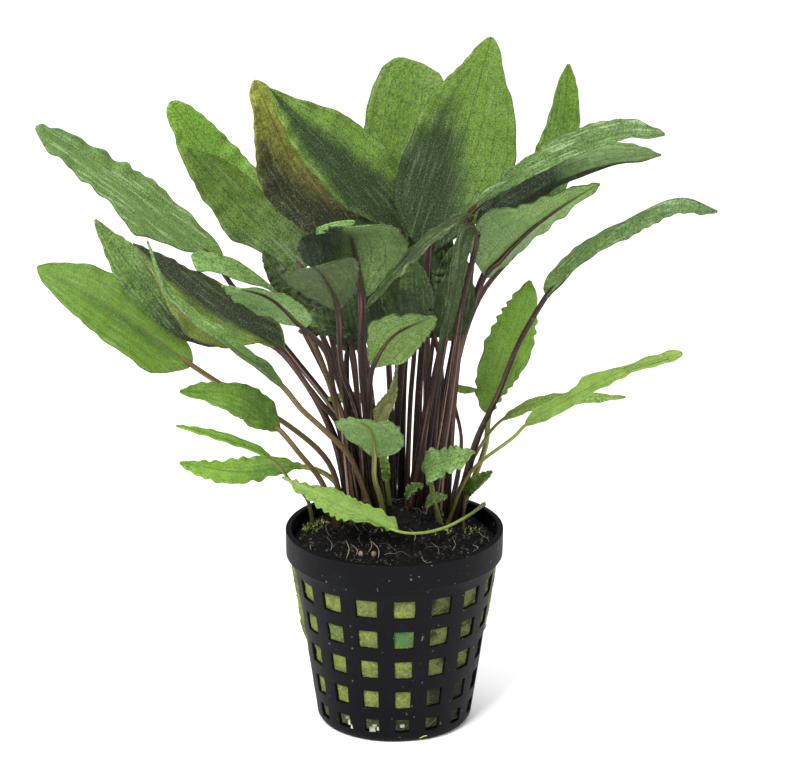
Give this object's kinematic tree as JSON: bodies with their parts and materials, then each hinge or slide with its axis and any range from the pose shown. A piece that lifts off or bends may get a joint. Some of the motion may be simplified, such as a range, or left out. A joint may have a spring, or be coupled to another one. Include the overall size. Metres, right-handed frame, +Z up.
{
  "type": "potted cryptocoryne",
  "caption": "Small rooted water plant with long stalked leaves, standing in a black net pot filled with mineral wool.",
  "frame": {"origin": "centre of the net pot's flat underside", "axes": "+Z up, +X to the right and +Y to the back as the plant is seen from its front"},
  "size_m": [0.1675, 0.124, 0.1718],
  "materials": {
    "pot_plastic": "semi-matte black",
    "mineral_wool": "fibrous, damp",
    "peat": "crumbly, damp",
    "leaf_bright": "satin leaf",
    "leaf_fresh": "satin leaf",
    "leaf_mid": "satin leaf",
    "leaf_dark": "satin leaf",
    "leaf_olive": "satin leaf",
    "leaf_yellow": "satin leaf"
  },
  "bodies": {
    "root": {"net_pot": "pot_plastic", "rock_wool": "mineral_wool", "soil": "peat", "leaf_left_low_broad": "leaf_bright", "leaf_left_dark": "leaf_dark", "leaf_left_olive": "leaf_olive", "leaf_left_folded": "leaf_fresh", "leaf_left_short_bright": "leaf_bright", "leaf_left_curled": "leaf_bright", "leaf_left_lowest": "leaf_bright", "leaf_left_upper_long": "leaf_mid", "leaf_left_arched": "leaf_bright", "leaf_front_fallen": "leaf_fresh", "leaf_mid_left_nodding": "leaf_fresh", "leaf_front_left_nodding": "leaf_mid", "leaf_front_centre_large": "leaf_mid", "leaf_front_centre_small": "leaf_bright", "leaf_front_low": "leaf_fresh", "leaf_centre_brownish": "leaf_olive", "leaf_young_rolled": "leaf_fresh", "leaf_right_curly": "leaf_fresh", "leaf_right_small_dark": "leaf_dark", "leaf_inner_dark": "leaf_dark", "leaf_inner_left": "leaf_dark", "leaf_inner_thin": "leaf_mid", "leaf_right_low_bright": "leaf_bright", "leaf_right_low_behind": "leaf_mid", "leaf_right_arching": "leaf_mid", "leaf_right_upright": "leaf_fresh", "leaf_right_upper_long": "leaf_mid", "leaf_front_narrow": "leaf_mid", "leaf_front_drooping": "leaf_dark", "leaf_right_upper_folded": "leaf_mid", "leaf_right_upper_underside": "leaf_mid", "leaf_back_right": "leaf_bright", "leaf_tall_centre": "leaf_mid", "leaf_tall_behind": "leaf_mid", "leaf_tall_left": "leaf_mid", "leaf_tall_yellow": "leaf_yellow", "leaf_back_left_bright": "leaf_bright", "leaf_back_left_low": "leaf_mid", "leaf_back_inner_small": "leaf_bright", "leaf_back_inner_strip": "leaf_mid"}
  },
  "joints": []
}
